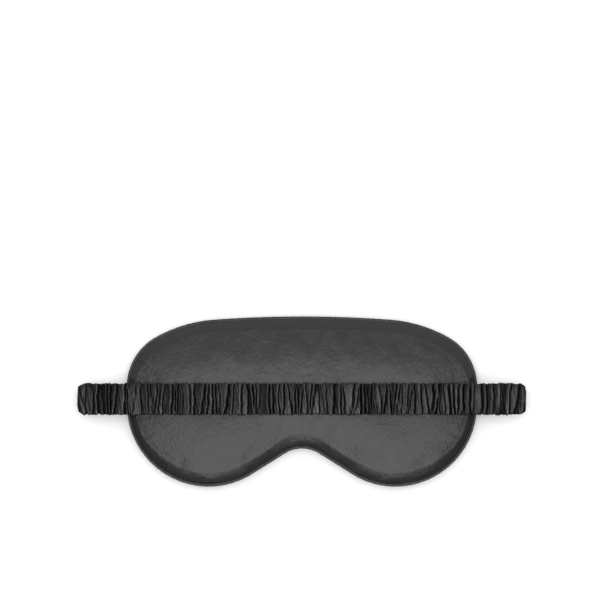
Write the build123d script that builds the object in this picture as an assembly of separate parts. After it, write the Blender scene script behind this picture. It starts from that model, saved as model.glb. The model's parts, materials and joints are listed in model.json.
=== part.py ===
from build123d import *
import math
import os

# Sleep eye mask, lying on its front face with the head strap folded flat across its back.
# Units are millimetres. +X runs to the right, +Y towards the brow, +Z up, away from the table.
# The origin is the middle of the mask's outline, on the table.

# --- Outline of the mask, piping included -------------------------------------------------
mask_width = 210.0          # over the piping, temple to temple
mask_height = 102.0         # brow to the lowest point of the cheek lobes
temple_drop = 42.1          # widest line below the top of the brow
temple_radius = 34.0        # from the widest line up
temple_angle = 60.7         # degrees that the temple arc turns before the shoulder arc
shoulder_radius = 84.0      # between the temple and the brow
side_radius = 390.0         # nearly straight side below the widest line
lobe_radius = 48.9          # rounded cheek lobes
nose_radius = 19.2          # nose arch
nose_depth = 22.8           # top of the arch above the bottom of the lobes

# --- Layers of the body --------------------------------------------------------------------
body_thickness = 12.0       # front face to back face
seam_height = 5.0           # plane of the edge seam above the table
cover_wall = 0.6            # satin with its fusible backing
front_rim_radius = 4.0      # rolled rim of the front panel
back_rim_radius = 6.0       # rolled rim of the back panel
back_inset = 0.7            # the back panel bulges out over the piping, short of its edge by this
layer_clearance = 0.2       # air between two layers
liner_thickness = 0.5       # light-blocking cloth in the middle

# --- Piping round the edge -----------------------------------------------------------------
piping_diameter = 2.6       # bias tube, outside
piping_wall = 0.5
piping_round = 1.15         # rounding of the tube's corners
flange_width = 6.0          # tail of the bias strip, caught in the seam
flange_thickness = 0.4

# --- Stitches ------------------------------------------------------------------------------
stitch_pitch = 6.0
stitch_length = 3.4
thread_width = 0.5
thread_height = 0.35
stitch_inset = 2.2          # seam line inside the piping tube
closing_gap_length = 50.0   # hand-closed turning gap, in the middle of the brow
closing_pitch = 5.0
tack_count = 5              # bars of a bartack
tack_bar_length = 14.0
tack_bar_pitch = 0.9

# --- Head strap ----------------------------------------------------------------------------
strap_width = 19.5          # gathered satin sleeve
strap_thickness = 3.0
sleeve_wall = 0.6
elastic_clearance = 0.3     # elastic runs free inside the sleeve
strap_rise = 1.6            # strap's middle line above the outline's middle
strap_clearance = 0.3       # air between the strap and the mask
fold_gap = 0.4              # air between the two layers of the folded tab
link_gap = 0.3              # air between neighbouring stretches of strap
seam_pivot_outset = 0.6     # where the strap starts to bend, outside the piping
tab_length = 29.0           # seam to the fold
arm_reach = 45.6            # seam to the place where the strap lies flat on the back
centre_length = 24.0        # middle stretch, the part that is pulled up
bend_radius = 14.0          # easy bend where the strap climbs over the rim
climb_end = 4.0             # the strap is level again this far outside the seam
climb_start = 20.0          # and starts to climb this far outside the seam
strap_end_thickness = 1.6   # sleeve and elastic pressed flat in the seam
strap_end_depth = 6.0       # how far the end runs into the mask
strap_end_gap = 0.9         # the closing strap moves this little, so its end stops this short

# --- Worked out from the sizes above -------------------------------------------------------
half_width = mask_width / 2
half_height = mask_height / 2
front_inset = piping_diameter + layer_clearance
padding_gap = cover_wall + layer_clearance
core_inset = piping_diameter + flange_width + layer_clearance
flange_bottom = seam_height - flange_thickness / 2
flange_top = seam_height + flange_thickness / 2
piping_z = flange_top - piping_diameter / 2
back_bottom = flange_top + layer_clearance
thread_room = thread_height + 2 * layer_clearance
elastic_thickness = strap_thickness - 2 * sleeve_wall - 2 * elastic_clearance
elastic_width = strap_width - 2 * sleeve_wall - 2 * elastic_clearance
end_bottom = flange_top + thread_room
end_top = end_bottom + strap_end_thickness
tab_z = end_bottom + strap_end_thickness / 2
arm_z = tab_z + strap_thickness + fold_gap
top_z = body_thickness + strap_clearance + strap_thickness / 2
seam_x = half_width + seam_pivot_outset
fold_x = seam_x + tab_length
flat_x = seam_x - arm_reach
centre_x = centre_length / 2


def point_on(centre, radius, angle):
    """Point at an angle on a circle."""
    return (centre[0] + radius * math.cos(angle), centre[1] + radius * math.sin(angle))


def arc_between(centre, radius, start, end):
    """Arc on a circle from one angle to another, through the angle half way."""
    middle = (start + end) / 2
    return ThreePointArc(
        point_on(centre, radius, start),
        point_on(centre, radius, middle),
        point_on(centre, radius, end),
    )


def direction(start, end):
    """Angle of the line from one point to another."""
    return math.atan2(end[1] - start[1], end[0] - start[0])


def outline(inset=0.0):
    """Closed outline of the mask, moved inwards by inset, with no corner anywhere.

    Over the brow run temple, shoulder and brow arcs, with the widest line between the temple
    and the side arc. A straight flank touches the cheek lobe and the nose arch.
    """
    turn = math.radians(temple_angle)
    widest = half_height - temple_drop
    temple = (half_width - temple_radius, widest)
    shoulder = point_on(temple, temple_radius - shoulder_radius, turn)
    top = shoulder[1] - half_height
    brow_radius = (shoulder_radius**2 - shoulder[0] ** 2 - top**2) / (2 * (top + shoulder_radius))
    brow = (0.0, half_height - brow_radius)
    side = (half_width - side_radius, widest)
    lobe_y = lobe_radius - half_height
    reach = side_radius - lobe_radius
    lobe = (side[0] + math.sqrt(reach**2 - (widest - lobe_y) ** 2), lobe_y)
    nose = (0.0, nose_depth - half_height - nose_radius)
    apart = math.hypot(lobe[0], lobe[1] - nose[1])

    brow_end = direction(brow, shoulder)
    side_end = direction(side, lobe)
    nose_start = direction(nose, lobe) + math.acos((lobe_radius + nose_radius) / apart)
    lobe_end = nose_start - math.pi
    right = [
        (shoulder, shoulder_radius - inset, brow_end, turn),
        (temple, temple_radius - inset, turn, 0.0),
        (side, side_radius - inset, 0.0, side_end),
        (lobe, lobe_radius - inset, side_end, lobe_end),
    ]
    lobe_point = point_on(lobe, lobe_radius - inset, lobe_end)
    nose_point = point_on(nose, nose_radius + inset, nose_start)
    edges = [arc_between(brow, brow_radius - inset, math.pi - brow_end, brow_end)]
    edges += [arc_between(*arc) for arc in right]
    edges.append(Line(lobe_point, nose_point))
    edges.append(arc_between(nose, nose_radius + inset, nose_start, math.pi - nose_start))
    edges.append(Line((-nose_point[0], nose_point[1]), (-lobe_point[0], lobe_point[1])))
    for centre, radius, start, end in reversed(right):
        mirrored = (-centre[0], centre[1])
        edges.append(arc_between(mirrored, radius, math.pi - end, math.pi - start))
    return Wire(edges)


def slab(inset, bottom, top):
    """Flat plate with the mask's outline, between two heights."""
    face = Pos(0, 0, bottom) * make_face(outline(inset))
    return extrude(face, amount=top - bottom, dir=(0, 0, 1))


def pillow(inset, bottom, top, radius, rim):
    """Plate with a rolled rim: rim is Axis.Z's last group (top) or first group (bottom)."""
    plate = slab(inset, bottom, top)
    edges = plate.edges().group_by(Axis.Z)[rim]
    return fillet(edges, radius)


def strap_box(x_from, x_to, width, bottom, top):
    """Box on the strap's middle line."""
    box = Box(x_to - x_from, width, top - bottom)
    return Pos((x_from + x_to) / 2, strap_rise, (bottom + top) / 2) * box


def both_sides(solid):
    """The solid and its mirror image on the other side of the nose."""
    return solid + mirror(solid, about=Plane.YZ)


def strap_notches():
    """Room for both strap ends, through the back panel's rim and into the padding."""
    inner = half_width - front_inset - strap_end_depth
    width = elastic_width + 2 * strap_clearance
    top = end_top + thread_room
    notch = strap_box(-half_width, -inner + strap_clearance, width, flange_top, top)
    return both_sides(notch)


def front_cover():
    """Front panel, a shallow dish that opens upwards."""
    outer = pillow(front_inset, 0.0, flange_bottom, front_rim_radius, 0)
    inner_inset = front_inset + cover_wall
    inner = pillow(inner_inset, cover_wall, flange_bottom, front_rim_radius - cover_wall, 0)
    return outer - inner


def back_cover():
    """Back panel, a deeper dish that opens downwards, notched for the strap ends."""
    outer = pillow(back_inset, back_bottom, body_thickness, back_rim_radius, -1)
    inner_inset = back_inset + cover_wall
    inner_top = body_thickness - cover_wall
    inner = pillow(inner_inset, back_bottom, inner_top, back_rim_radius - cover_wall, -1)
    return outer - inner - strap_notches()


def front_padding():
    """Wadding in the front panel, with a raised middle inside the seam."""
    top = flange_bottom - thread_room
    bottom = cover_wall + layer_clearance
    radius = front_rim_radius - cover_wall - layer_clearance
    core = slab(core_inset, top, seam_height - liner_thickness / 2 - layer_clearance)
    return pillow(front_inset + padding_gap, bottom, top, radius, 0) + core


def back_padding():
    """Wadding in the back panel, with a lowered middle and room for the strap ends."""
    bottom = flange_top + thread_room
    top = body_thickness - cover_wall - layer_clearance
    radius = back_rim_radius - cover_wall - layer_clearance
    core = slab(core_inset, seam_height + liner_thickness / 2 + layer_clearance, bottom)
    return pillow(back_inset + padding_gap, bottom, top, radius, -1) + core - strap_notches()


def blackout_liner():
    """Light-blocking sheet between the two layers of wadding."""
    half = liner_thickness / 2
    return slab(core_inset, seam_height - half, seam_height + half)


def ring(inset_out, inset_in, height, radius):
    """Rounded ring round the outline, centred on the piping."""
    low = piping_z - height / 2
    band = slab(inset_out, low, low + height) - slab(inset_in, low, low + height)
    flat_edges = band.edges().group_by(Axis.Z)
    return fillet(flat_edges[0] + flat_edges[-1], radius)


def piping_cover():
    """Bias strip: a tube round the cord, with a flat tail flush with its top, held by the seam."""
    tube = ring(0.0, piping_diameter, piping_diameter, piping_round)
    bore_round = piping_round - piping_wall
    bore_height = piping_diameter - 2 * piping_wall
    bore = ring(piping_wall, piping_diameter - piping_wall, bore_height, bore_round)
    tail = slab(piping_diameter / 2, flange_bottom, flange_top)
    tail -= slab(piping_diameter + flange_width, flange_bottom, flange_top)
    return tube - bore + tail


def piping_cord():
    """Filler cord inside the bias tube."""
    room = piping_wall + layer_clearance / 2
    height = piping_diameter - 2 * room
    cord_round = piping_round - room
    return ring(room, piping_diameter - room, height, cord_round)


def stitch_row(path, first, count, pitch, height):
    """Stitches along a closed path: small bars that lie along the seam."""
    bars = []
    for index in range(count):
        place = path.location_at(first + index * pitch, position_mode=PositionMode.LENGTH)
        along = path.tangent_at(first + index * pitch, position_mode=PositionMode.LENGTH)
        turn = math.degrees(math.atan2(along.Y, along.X))
        spot = Pos(place.position.X, place.position.Y, height) * Rot(0, 0, turn)
        bars.append(spot * Box(stitch_length, thread_width, thread_height))
    return Compound(children=bars)


def seam_stitches():
    """Lock stitches all round, on the back side of the piping's tail."""
    path = outline(piping_diameter + stitch_inset)
    count = round(path.length / stitch_pitch)
    height = flange_top + layer_clearance / 2 + thread_height / 2
    return stitch_row(path, 0.0, count, path.length / count, height)


def closing_stitches():
    """Slip stitches that close the turning gap, on the front side of the piping's tail."""
    path = outline(piping_diameter + stitch_inset)
    count = int(closing_gap_length / closing_pitch)
    brow_arc = path.edges().sort_by(Axis.Y)[-1]
    first = (brow_arc.length - closing_gap_length) / 2
    height = flange_bottom - layer_clearance / 2 - thread_height / 2
    return stitch_row(brow_arc, first, count, closing_pitch, height)


def strap_end():
    """Left end of the strap, pressed flat and caught in the seam over the piping's tail."""
    inner = half_width - front_inset - strap_end_depth + 2 * strap_clearance
    width = elastic_width - 2 * strap_clearance
    return strap_box(-seam_x + strap_end_gap, -inner, width, end_bottom, end_top)


def strap_tack():
    """Bartack across the left strap end."""
    first = half_width - front_inset - strap_end_depth + 4 * strap_clearance
    bottom = end_top + layer_clearance / 2
    bars = []
    for index in range(tack_count):
        left = -first - index * tack_bar_pitch
        bar = strap_box(left - thread_width, left, tack_bar_length, bottom, bottom + thread_height)
        bars.append(bar)
    return Compound(children=bars)


def straight_link(x_from, x_to, height):
    """Middle line of a level stretch of strap."""
    return Line((x_from, strap_rise, height), (x_to, strap_rise, height))


def arm_path():
    """Middle line from the fold, over the rim, to where the strap lies flat on the back."""
    corners = [
        (-fold_x, arm_z),
        (-seam_x - climb_start, arm_z),
        (-seam_x - climb_end, top_z),
        (-flat_x - link_gap / 2, top_z),
    ]
    path = FilletPolyline(*corners, radius=bend_radius)
    return Pos(0, strap_rise, 0) * (Plane.XZ * path)


def ribbon(path, width, thickness):
    """Flat band of a given section along a path that lies in a plane across the strap."""
    section = Plane(origin=path @ 0, x_dir=(0, 1, 0), z_dir=path % 0) * Rectangle(width, thickness)
    return sweep(section, path=path)


def sleeve(path):
    """Stretch of the gathered satin sleeve, open at both ends."""
    outer = ribbon(path, strap_width, strap_thickness)
    inner = ribbon(path, strap_width - 2 * sleeve_wall, strap_thickness - 2 * sleeve_wall)
    return outer - inner


def elastic(path):
    """Stretch of the elastic band inside the sleeve."""
    return ribbon(path, elastic_width, elastic_thickness)


def strap_paths():
    """Middle line of each stretch of strap on the left side and in the middle."""
    half_gap = link_gap / 2
    return {
        "left_tab": straight_link(-fold_x, -seam_x - half_gap, tab_z),
        "left_arm": arm_path(),
        "left_span": straight_link(-flat_x + half_gap, -centre_x - half_gap, top_z),
        "strap_centre": straight_link(-centre_x + half_gap, centre_x - half_gap, top_z),
    }


def all_parts():
    """Every piece of the mask, by name."""
    parts = {
        "front_cover": front_cover(),
        "back_cover": back_cover(),
        "front_padding": front_padding(),
        "back_padding": back_padding(),
        "blackout_liner": blackout_liner(),
        "piping_cover": piping_cover(),
        "piping_cord": piping_cord(),
        "seam_stitches": seam_stitches(),
        "closing_stitches": closing_stitches(),
        "left_strap_end": strap_end(),
        "left_strap_tack": strap_tack(),
    }
    for name, path in strap_paths().items():
        parts[name + "_sleeve"] = sleeve(path)
        parts[name + "_elastic"] = elastic(path)
    for name in [name for name in parts if name.startswith("left_")]:
        parts[name.replace("left_", "right_", 1)] = mirror(parts[name], about=Plane.YZ)
    return parts


os.makedirs("parts", exist_ok=True)
for part_name, part_solid in all_parts().items():
    export_step(part_solid, f"parts/{part_name}.step")
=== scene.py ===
import json
import logging
import math
from dataclasses import dataclass, field
from enum import Enum

import bmesh
import bpy
import numpy as np
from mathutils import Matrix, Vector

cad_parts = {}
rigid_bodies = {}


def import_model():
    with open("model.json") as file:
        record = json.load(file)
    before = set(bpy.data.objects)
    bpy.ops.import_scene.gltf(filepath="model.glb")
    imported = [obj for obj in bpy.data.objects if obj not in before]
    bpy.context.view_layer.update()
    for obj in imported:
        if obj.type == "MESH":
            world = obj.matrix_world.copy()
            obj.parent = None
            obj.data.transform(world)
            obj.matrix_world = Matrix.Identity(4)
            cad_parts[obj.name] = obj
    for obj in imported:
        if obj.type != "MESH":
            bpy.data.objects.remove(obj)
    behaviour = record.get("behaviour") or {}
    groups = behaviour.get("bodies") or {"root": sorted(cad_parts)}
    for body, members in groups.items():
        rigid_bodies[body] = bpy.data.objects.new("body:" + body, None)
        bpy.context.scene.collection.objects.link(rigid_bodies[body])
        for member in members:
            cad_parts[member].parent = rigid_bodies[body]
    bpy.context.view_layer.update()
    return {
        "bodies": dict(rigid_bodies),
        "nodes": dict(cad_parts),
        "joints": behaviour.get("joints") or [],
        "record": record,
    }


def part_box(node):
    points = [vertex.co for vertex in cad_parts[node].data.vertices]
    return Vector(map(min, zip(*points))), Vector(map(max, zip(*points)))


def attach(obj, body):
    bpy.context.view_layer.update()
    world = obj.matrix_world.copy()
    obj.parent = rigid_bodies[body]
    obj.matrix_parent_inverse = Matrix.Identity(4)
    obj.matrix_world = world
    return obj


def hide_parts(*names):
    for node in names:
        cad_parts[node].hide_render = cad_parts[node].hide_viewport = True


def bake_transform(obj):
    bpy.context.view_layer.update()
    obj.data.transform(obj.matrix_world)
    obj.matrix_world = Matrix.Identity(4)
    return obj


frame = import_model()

LOG = logging.getLogger("sleep_mask")
MM = 0.001
WELD_GAP = 0.004 * MM


class Side(Enum):
    """Which panel of the mask: the back one meets the face and lies on top here."""

    BACK = 1
    FRONT = -1


# ---------------------------------------------------------------------------------------
# Small tools: numbers and meshes
# ---------------------------------------------------------------------------------------


def smoothstep(x: np.ndarray) -> np.ndarray:
    """Rises from 0 to 1 with level ends: t * t * (3 - 2 t), t clipped to 0..1.

    Args:
        x: Positions, where the rise runs from 0 to 1.

    Returns:
        The height at each position.
    """
    t = np.clip(x, 0.0, 1.0)
    return t * t * (3.0 - 2.0 * t)


def waves(x: np.ndarray, lengths: tuple[float, ...], seed: int) -> np.ndarray:
    """Irregular wave of about unit height: the mean of sines with drawn phases.

    Args:
        x: Positions, in metres.
        lengths: Wave lengths to add up, in metres.
        seed: Seed of the phases.

    Returns:
        The wave's height at each position.
    """
    phases = np.random.default_rng(seed).uniform(0.0, 2.0 * math.pi, len(lengths))
    total = sum(np.sin(2.0 * math.pi * x / l + p) for l, p in zip(lengths, phases))
    return total / math.sqrt(len(lengths))


def grid_mesh(
    name: str, points: np.ndarray, around: bool, along: bool, caps: bool = False
) -> bpy.types.Object:
    """Mesh of quads over a grid of points.

    Args:
        name: Name of the new object.
        points: Array of rows x columns x 3, in metres.
        around: The columns close on themselves.
        along: The rows close on themselves.
        caps: Closes the first and last row with one face each.

    Returns:
        The new object, smooth shaded.
    """
    rows, columns = points.shape[:2]
    index = np.arange(rows * columns).reshape(rows, columns)
    low = index if along else index[:-1]
    high = np.roll(index, -1, axis=0) if along else index[1:]
    if around:
        a, b = low, np.roll(low, -1, axis=1)
        c, d = np.roll(high, -1, axis=1), high
    else:
        a, b, c, d = low[:, :-1], low[:, 1:], high[:, 1:], high[:, :-1]
    faces = np.stack([a, b, c, d], axis=-1).reshape(-1, 4).tolist()
    if caps:
        faces.append(index[0, ::-1].tolist())
        faces.append(index[-1].tolist())
    mesh = bpy.data.meshes.new(name)
    mesh.from_pydata(points.reshape(-1, 3).tolist(), [], faces)
    mesh.polygons.foreach_set("use_smooth", np.ones(len(mesh.polygons), bool))
    mesh.update()
    obj = bpy.data.objects.new(name, mesh)
    bpy.context.scene.collection.objects.link(obj)
    return obj


def store(obj: bpy.types.Object, name: str, values: np.ndarray) -> None:
    """Stores one number for each vertex as a named attribute.

    Args:
        obj: The piece.
        name: Name of the attribute.
        values: One value for each vertex, in the order of the grid.
    """
    attribute = obj.data.attributes.new(name, "FLOAT", "POINT")
    attribute.data.foreach_set("value", np.asarray(values, np.float32).ravel())


def weld(obj: bpy.types.Object) -> None:
    """Merges points that lie on each other, as at a pole, and drops faces with no area.

    Args:
        obj: The piece.
    """
    shape = bmesh.new()
    shape.from_mesh(obj.data)
    bmesh.ops.remove_doubles(shape, verts=shape.verts, dist=WELD_GAP)
    bmesh.ops.dissolve_degenerate(shape, edges=shape.edges, dist=WELD_GAP / 4)
    shape.to_mesh(obj.data)
    shape.free()


def face_outwards(obj: bpy.types.Object) -> None:
    """Turns every face outwards by the sign of the closed mesh's volume.

    Args:
        obj: A closed piece.
    """
    mesh = obj.data
    mesh.calc_loop_triangles()
    corners = np.empty(len(mesh.loop_triangles) * 3, np.int32)
    mesh.loop_triangles.foreach_get("vertices", corners)
    points = np.empty(len(mesh.vertices) * 3, np.float32)
    mesh.vertices.foreach_get("co", points)
    a, b, c = np.moveaxis(points.reshape(-1, 3)[corners.reshape(-1, 3)].astype(float), 1, 0)
    if (a * np.cross(b, c)).sum() < 0:
        mesh.flip_normals()


# ---------------------------------------------------------------------------------------
# The outline that every piece of the body follows
# ---------------------------------------------------------------------------------------


@dataclass(frozen=True)
class Outline:
    """The mask's outline: arcs and flanks that meet without a corner.

    Attributes:
        width: Over the piping, temple to temple.
        height: Brow to the lowest point of the cheek lobes.
        temple_drop: Widest line below the brow.
        temple_radius: Radius above the widest line.
        temple_angle: Turn of the temple arc, in degrees.
        shoulder_radius: Radius between temple and brow.
        side_radius: Radius below the widest line.
        lobe_radius: Radius of the cheek lobes.
        nose_radius: Radius of the nose arch.
        nose_depth: Top of the arch over the lobes' bottom.
    """

    width: float
    height: float
    temple_drop: float = 42.1 * MM
    temple_radius: float = 34.0 * MM
    temple_angle: float = 60.7
    shoulder_radius: float = 84.0 * MM
    side_radius: float = 390.0 * MM
    lobe_radius: float = 48.9 * MM
    nose_radius: float = 19.2 * MM
    nose_depth: float = 22.8 * MM

    def strokes(self) -> np.ndarray:
        """Strokes from the right temple over the brow and back under the lobes.

        Each is the path of a point on a circle that turns, or that slides along a flank.

        Returns:
            One row for each: the centre's first x and y, its last x and y, the radius, first
            and last angle, and 1 where the body is inside the circle or -1 where it is
            outside, as at the nose.
        """
        half_w, half_h, turn = self.width / 2, self.height / 2, math.radians(self.temple_angle)
        temple_r, shoulder_r = self.temple_radius, self.shoulder_radius
        lobe_r, nose_r = self.lobe_radius, self.nose_radius
        tx, ty = half_w - temple_r, half_h - self.temple_drop
        sx = tx + (temple_r - shoulder_r) * math.cos(turn)
        sy = ty + (temple_r - shoulder_r) * math.sin(turn)
        top = sy - half_h
        brow_r = (shoulder_r**2 - sx**2 - top**2) / (2 * (top + shoulder_r))
        brow_y, side_x, ly = half_h - brow_r, half_w - self.side_radius, lobe_r - half_h
        lx = side_x + math.sqrt((self.side_radius - lobe_r) ** 2 - (ty - ly) ** 2)
        ny = self.nose_depth - half_h - nose_r
        brow_a = math.atan2(sy - brow_y, sx)
        side_a = math.atan2(ly - ty, lx - side_x)
        apart = math.hypot(lx, ly - ny)
        nose_a = math.atan2(ly - ny, lx) + math.acos((lobe_r + nose_r) / apart)
        lobe_a, pi = nose_a - math.pi, math.pi
        fx = lx - (lobe_r + nose_r) * math.cos(nose_a)
        fy = ly - (lobe_r + nose_r) * math.sin(nose_a) - ny
        right = [
            [sx, sy, sx, sy, shoulder_r, brow_a, turn, 1],
            [tx, ty, tx, ty, temple_r, turn, 0.0, 1],
            [side_x, ty, side_x, ty, self.side_radius, 0.0, side_a, 1],
            [lx, ly, lx, ly, lobe_r, side_a, lobe_a, 1],
            [lx, ly, lx - fx, ly - fy, lobe_r, lobe_a, lobe_a, 1],
        ]
        left = [[-r[0], r[1], -r[2], r[3], r[4], pi - r[5], pi - r[6], r[7]] for r in right]
        back = [[r[2], r[3], r[0], r[1], r[4], r[6], r[5], r[7]] for r in right[::-1]]
        brow = [[0.0, brow_y, 0.0, brow_y, brow_r, brow_a, pi - brow_a, 1]]
        nose = [[0.0, ny, 0.0, ny, nose_r, pi - nose_a, nose_a, -1]]
        return np.array(back[3:] + brow + left + nose + back[:3])

    def lengths(self) -> np.ndarray:
        """Length of each stroke.

        Returns:
            The lengths, in the strokes' order.
        """
        rows = self.strokes()
        slide = np.hypot(rows[:, 2] - rows[:, 0], rows[:, 3] - rows[:, 1])
        return np.abs(rows[:, 6] - rows[:, 5]) * rows[:, 4] + slide

    def at(self, distance: np.ndarray, inset: np.ndarray | float = 0.0) -> tuple[np.ndarray, np.ndarray]:
        """Points on the outline, moved inwards along its normal.

        A point is its stroke's centre plus the radius, less the inset, times the unit vector
        at the angle that the distance along the stroke gives.

        Args:
            distance: Distances along the outline from the right temple, over the brow.
            inset: How far inwards the points lie.

        Returns:
            The points and the inward unit normals, each with x and y in the last axis.
        """
        rows, ends = self.strokes(), np.cumsum(self.lengths())
        s = np.mod(distance, ends[-1])
        which = np.minimum(np.searchsorted(ends, s, side="right"), len(ends) - 1)
        row = rows[which]
        start = np.concatenate([[0.0], ends[:-1]])[which]
        share = (s - start) / (ends[which] - start)
        angle = row[..., 5] + (row[..., 6] - row[..., 5]) * share
        unit = np.stack([np.cos(angle), np.sin(angle)], axis=-1)
        reach = row[..., 4] - row[..., 7] * inset
        centre = row[..., :2] + (row[..., 2:4] - row[..., :2]) * share[..., None]
        return centre + unit * reach[..., None], -unit * row[..., 7, None]

    def total(self) -> float:
        """Length all round.

        Returns:
            The length.
        """
        return float(self.lengths().sum())

    def brow_share(self) -> float:
        """Length of the upper stretch, from temple to temple over the brow.

        Returns:
            The length.
        """
        return float(self.lengths()[:5].sum())


# ---------------------------------------------------------------------------------------
# Finishes
# ---------------------------------------------------------------------------------------


class NodeBook:
    """Shader node groups that several finishes share, each built once.

    Attributes:
        groups: The groups built so far, by name.
    """

    groups: dict[str, bpy.types.NodeTree] = {}

    @classmethod
    def start(cls, name: str, inputs: dict[str, float], outputs: tuple[str, ...]) -> bpy.types.NodeTree:
        """New group with number inputs, a Vector input and the named outputs.

        Args:
            name: Name of the group.
            inputs: Names of the number inputs and their usual values.
            outputs: Names of the number outputs.

        Returns:
            The group, with its nodes "in" and "out".
        """
        group = bpy.data.node_groups.new(name, "ShaderNodeTree")
        group.interface.new_socket("Vector", in_out="INPUT", socket_type="NodeSocketVector")
        for label, value in inputs.items():
            socket = group.interface.new_socket(label, in_out="INPUT", socket_type="NodeSocketFloat")
            socket.default_value = value
        for label in outputs:
            group.interface.new_socket(label, in_out="OUTPUT", socket_type="NodeSocketFloat")
        group.nodes.new("NodeGroupInput").name = "in"
        group.nodes.new("NodeGroupOutput").name = "out"
        cls.groups[name] = group
        return group

    @classmethod
    def satin_weave(cls) -> bpy.types.NodeTree:
        """Satin weave: fine floats along one way, with thicker and thinner threads.

        Height is a fine noise stretched along the threads; Streak is a coarser one stretched
        the other way, the small crinkles of pressed satin; Mottle is a soft cloud a few
        millimetres across, where the cloth lies a little differently.

        Returns:
            The group.
        """
        if "satin_weave" in cls.groups:
            return cls.groups["satin_weave"]
        scales = {"Thread": 2600.0, "Streak": 900.0, "Cloud": 160.0}
        group = cls.start("satin_weave", scales, ("Height", "Streak", "Mottle"))
        nodes, links = group.nodes, group.links
        thread = nodes.new("ShaderNodeTexNoise")
        thread.inputs["Detail"].default_value = 3.0
        thread.inputs["Roughness"].default_value = 0.6
        stretch = nodes.new("ShaderNodeMapping")
        stretch.inputs["Scale"].default_value = (0.16, 1.0, 1.0)
        links.new(nodes["in"].outputs["Vector"], stretch.inputs["Vector"])
        links.new(stretch.outputs["Vector"], thread.inputs["Vector"])
        links.new(nodes["in"].outputs["Thread"], thread.inputs["Scale"])
        crinkle = nodes.new("ShaderNodeTexNoise")
        crinkle.inputs["Detail"].default_value = 2.0
        pull = nodes.new("ShaderNodeMapping")
        pull.inputs["Scale"].default_value = (1.0, 0.6, 1.0)
        links.new(nodes["in"].outputs["Vector"], pull.inputs["Vector"])
        links.new(pull.outputs["Vector"], crinkle.inputs["Vector"])
        links.new(nodes["in"].outputs["Streak"], crinkle.inputs["Scale"])
        links.new(crinkle.outputs["Fac"], nodes["out"].inputs["Streak"])
        cloud = nodes.new("ShaderNodeTexNoise")
        cloud.inputs["Detail"].default_value = 5.0
        cloud.inputs["Roughness"].default_value = 0.65
        links.new(nodes["in"].outputs["Vector"], cloud.inputs["Vector"])
        links.new(nodes["in"].outputs["Cloud"], cloud.inputs["Scale"])
        links.new(thread.outputs["Fac"], nodes["out"].inputs["Height"])
        links.new(cloud.outputs["Fac"], nodes["out"].inputs["Mottle"])
        return group


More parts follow.
